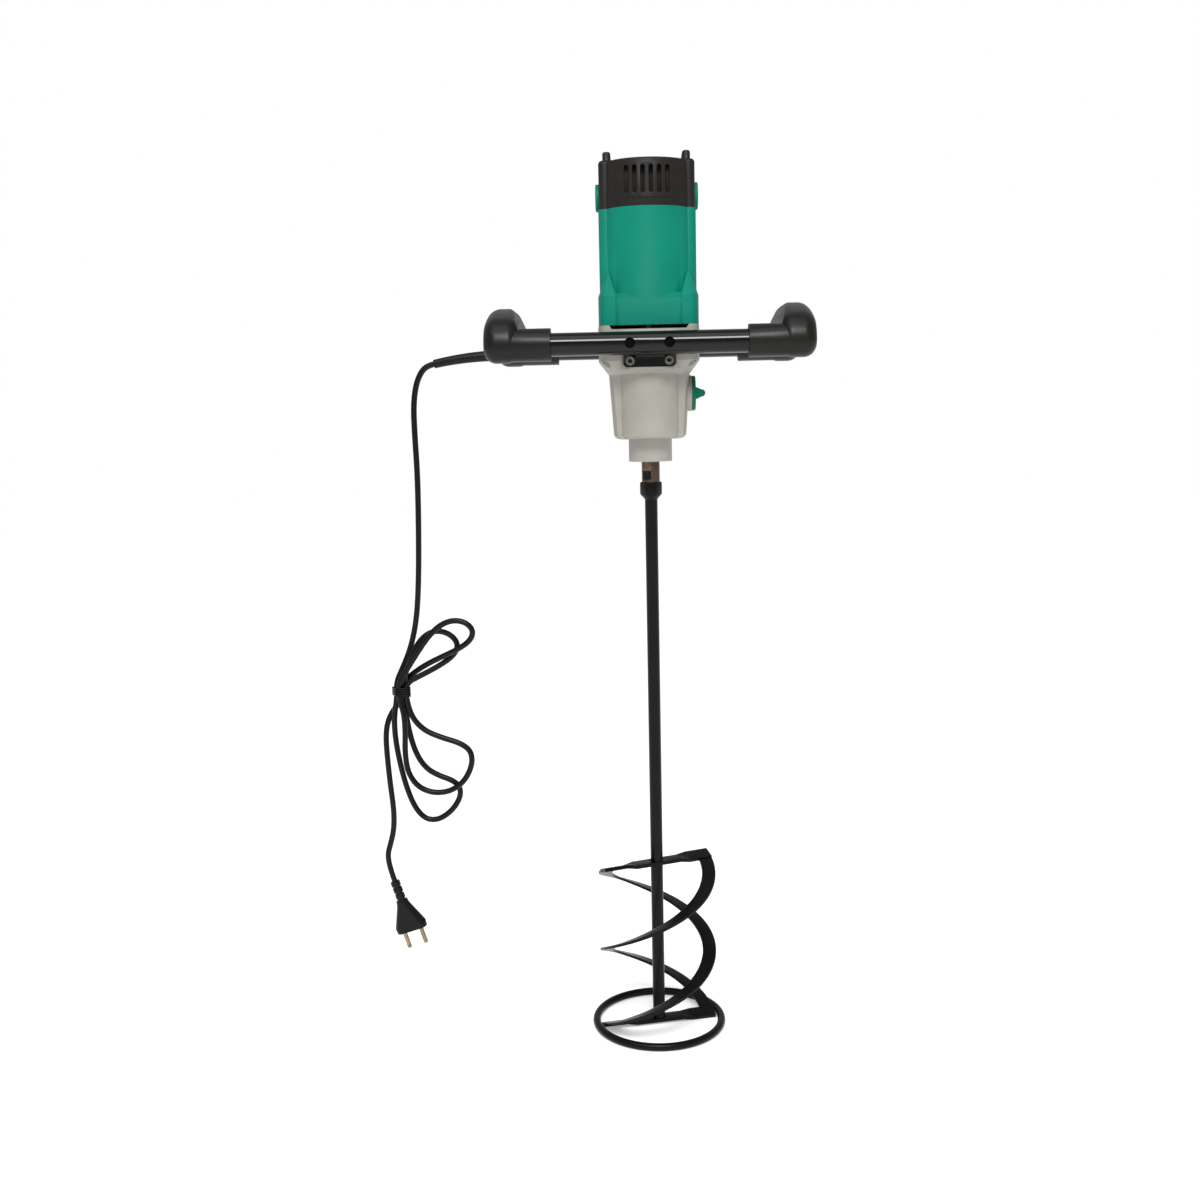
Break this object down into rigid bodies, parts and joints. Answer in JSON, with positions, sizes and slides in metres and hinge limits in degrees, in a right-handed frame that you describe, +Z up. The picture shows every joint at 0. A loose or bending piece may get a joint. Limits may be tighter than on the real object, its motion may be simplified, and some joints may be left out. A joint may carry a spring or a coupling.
{
  "type": "mixing drill",
  "caption": "Two-handled electric mixing drill with green motor housing, cast gearbox, speed selector, tied mains cord and a helical ribbon paddle on a long shaft.",
  "frame": {"origin": "centre of the lower face of the 43 mm collar, on the spindle axis", "axes": "+Z up the spindle axis towards the motor, +X towards the speed selector, +Y away from the viewer's handle tube"},
  "size_m": [0.4524, 0.165, 0.889],
  "materials": {
    "green_plastic": "moulded, satin",
    "black_plastic": "moulded, fine grain",
    "grip_plastic": "moulded, satin",
    "cast_aluminium": "die cast, blasted",
    "plain_aluminium": "machined",
    "black_tube": "gloss black paint",
    "black_paint": "satin black paint",
    "black_screw": "black oxide",
    "steel": "ground",
    "gear_steel": "hardened",
    "lamination": "stacked sheet",
    "copper": "enamelled wire",
    "bronze": "sintered",
    "carbon": "pressed carbon",
    "seal_rubber": "moulded",
    "cord_rubber": "jacket, satin",
    "plug_plastic": "moulded",
    "fan_plastic": "moulded",
    "plug_brass": "nickel plated"
  },
  "bodies": {
    "machine": {"gear_housing": "cast_aluminium", "inner_plate": "plain_aluminium", "motor_plate": "plain_aluminium", "flange_screws": "black_screw", "motor_housing": "green_plastic", "motor_cover": "black_plastic", "cover_screws": "black_screw", "brush_caps": "green_plastic", "handle_tube_front": "black_tube", "handle_tube_rear": "black_tube", "handle_brackets": "black_paint", "bracket_screws": "black_screw", "tube_bolts": "black_screw", "grip_left_inner": "grip_plastic", "grip_left_outer": "grip_plastic", "grip_right_inner": "grip_plastic", "grip_right_outer": "grip_plastic", "grip_screws": "black_screw", "trigger_spring": "steel", "switch_module": "black_plastic", "fork_rod": "steel", "countershaft_bushes": "bronze", "spindle_seal": "seal_rubber", "spindle_bearing_lower": "steel", "spindle_bearing_upper": "steel", "motor_bearing_lower": "steel", "motor_bearing_upper": "steel", "stator_core": "lamination", "field_coils": "copper", "brush_holders": "black_plastic", "carbon_brushes": "carbon", "brush_springs": "steel", "strain_relief": "cord_rubber", "power_cord": "cord_rubber", "cord_hank": "cord_rubber", "cord_tail": "cord_rubber", "cord_tie": "black_paint", "plug_body": "plug_plastic", "plug_pins": "plug_brass"},
    "spindle": {"spindle": "steel", "low_gear": "gear_steel", "paddle_shaft": "black_paint", "paddle_top_bar": "black_paint", "paddle_bottom_bar": "black_paint", "paddle_blade_a": "black_paint", "paddle_blade_b": "black_paint", "paddle_ring": "black_paint"},
    "countershaft": {"countershaft": "gear_steel", "countershaft_gear": "gear_steel"},
    "armature": {"armature_shaft": "gear_steel", "armature_core": "lamination", "armature_windings": "copper", "commutator": "copper", "cooling_fan": "fan_plastic"},
    "high_gear": {"high_gear": "gear_steel"},
    "shift_sleeve": {"shift_sleeve": "gear_steel"},
    "shift_fork": {"shift_fork": "plain_aluminium"},
    "selector": {"selector_knob": "green_plastic", "selector_shaft": "steel"},
    "trigger": {"trigger": "grip_plastic"}
  },
  "joints": [
    {"name": "spindle_spin", "type": "hinge", "parent": "machine", "child": "spindle", "pos_m": [0, 0, 0], "axis": [0, 0, 1], "continuous": true},
    {"name": "countershaft_spin", "type": "hinge", "parent": "machine", "child": "countershaft", "pos_m": [0, 0.024, 0], "axis": [0, 0, 1], "continuous": true},
    {"name": "armature_spin", "type": "hinge", "parent": "machine", "child": "armature", "pos_m": [0, 0, 0], "axis": [0, 0, 1], "continuous": true},
    {"name": "high_gear_spin", "type": "hinge", "parent": "machine", "child": "high_gear", "pos_m": [0, 0, 0], "axis": [0, 0, 1], "continuous": true},
    {"name": "selector_turn", "type": "hinge", "parent": "machine", "child": "selector", "pos_m": [0.042, 0, 0.066], "axis": [1, 0, 0], "range_deg": [0, 180]},
    {"name": "fork_slide", "type": "slide", "parent": "machine", "child": "shift_fork", "axis": [0, 0, 1], "range_m": [0, 0.006]},
    {"name": "sleeve_slide", "type": "slide", "parent": "spindle", "child": "shift_sleeve", "axis": [0, 0, 1], "range_m": [0, 0.006]},
    {"name": "trigger_press", "type": "slide", "parent": "machine", "child": "trigger", "axis": [0, 0, 1], "range_m": [0, 0.0065], "deforming": ["trigger_spring"]}
  ],
  "couplings": [
    {"joint": "countershaft_spin", "follows": "spindle_spin", "ratio": -4.3333},
    {"joint": "armature_spin", "follows": "spindle_spin", "ratio": 21.667},
    {"joint": "high_gear_spin", "follows": "spindle_spin", "ratio": 1.6095},
    {"joint": "selector_turn", "follows": "sleeve_slide", "rad_per_m": 523.6},
    {"joint": "fork_slide", "follows": "sleeve_slide", "ratio": 1}
  ]
}
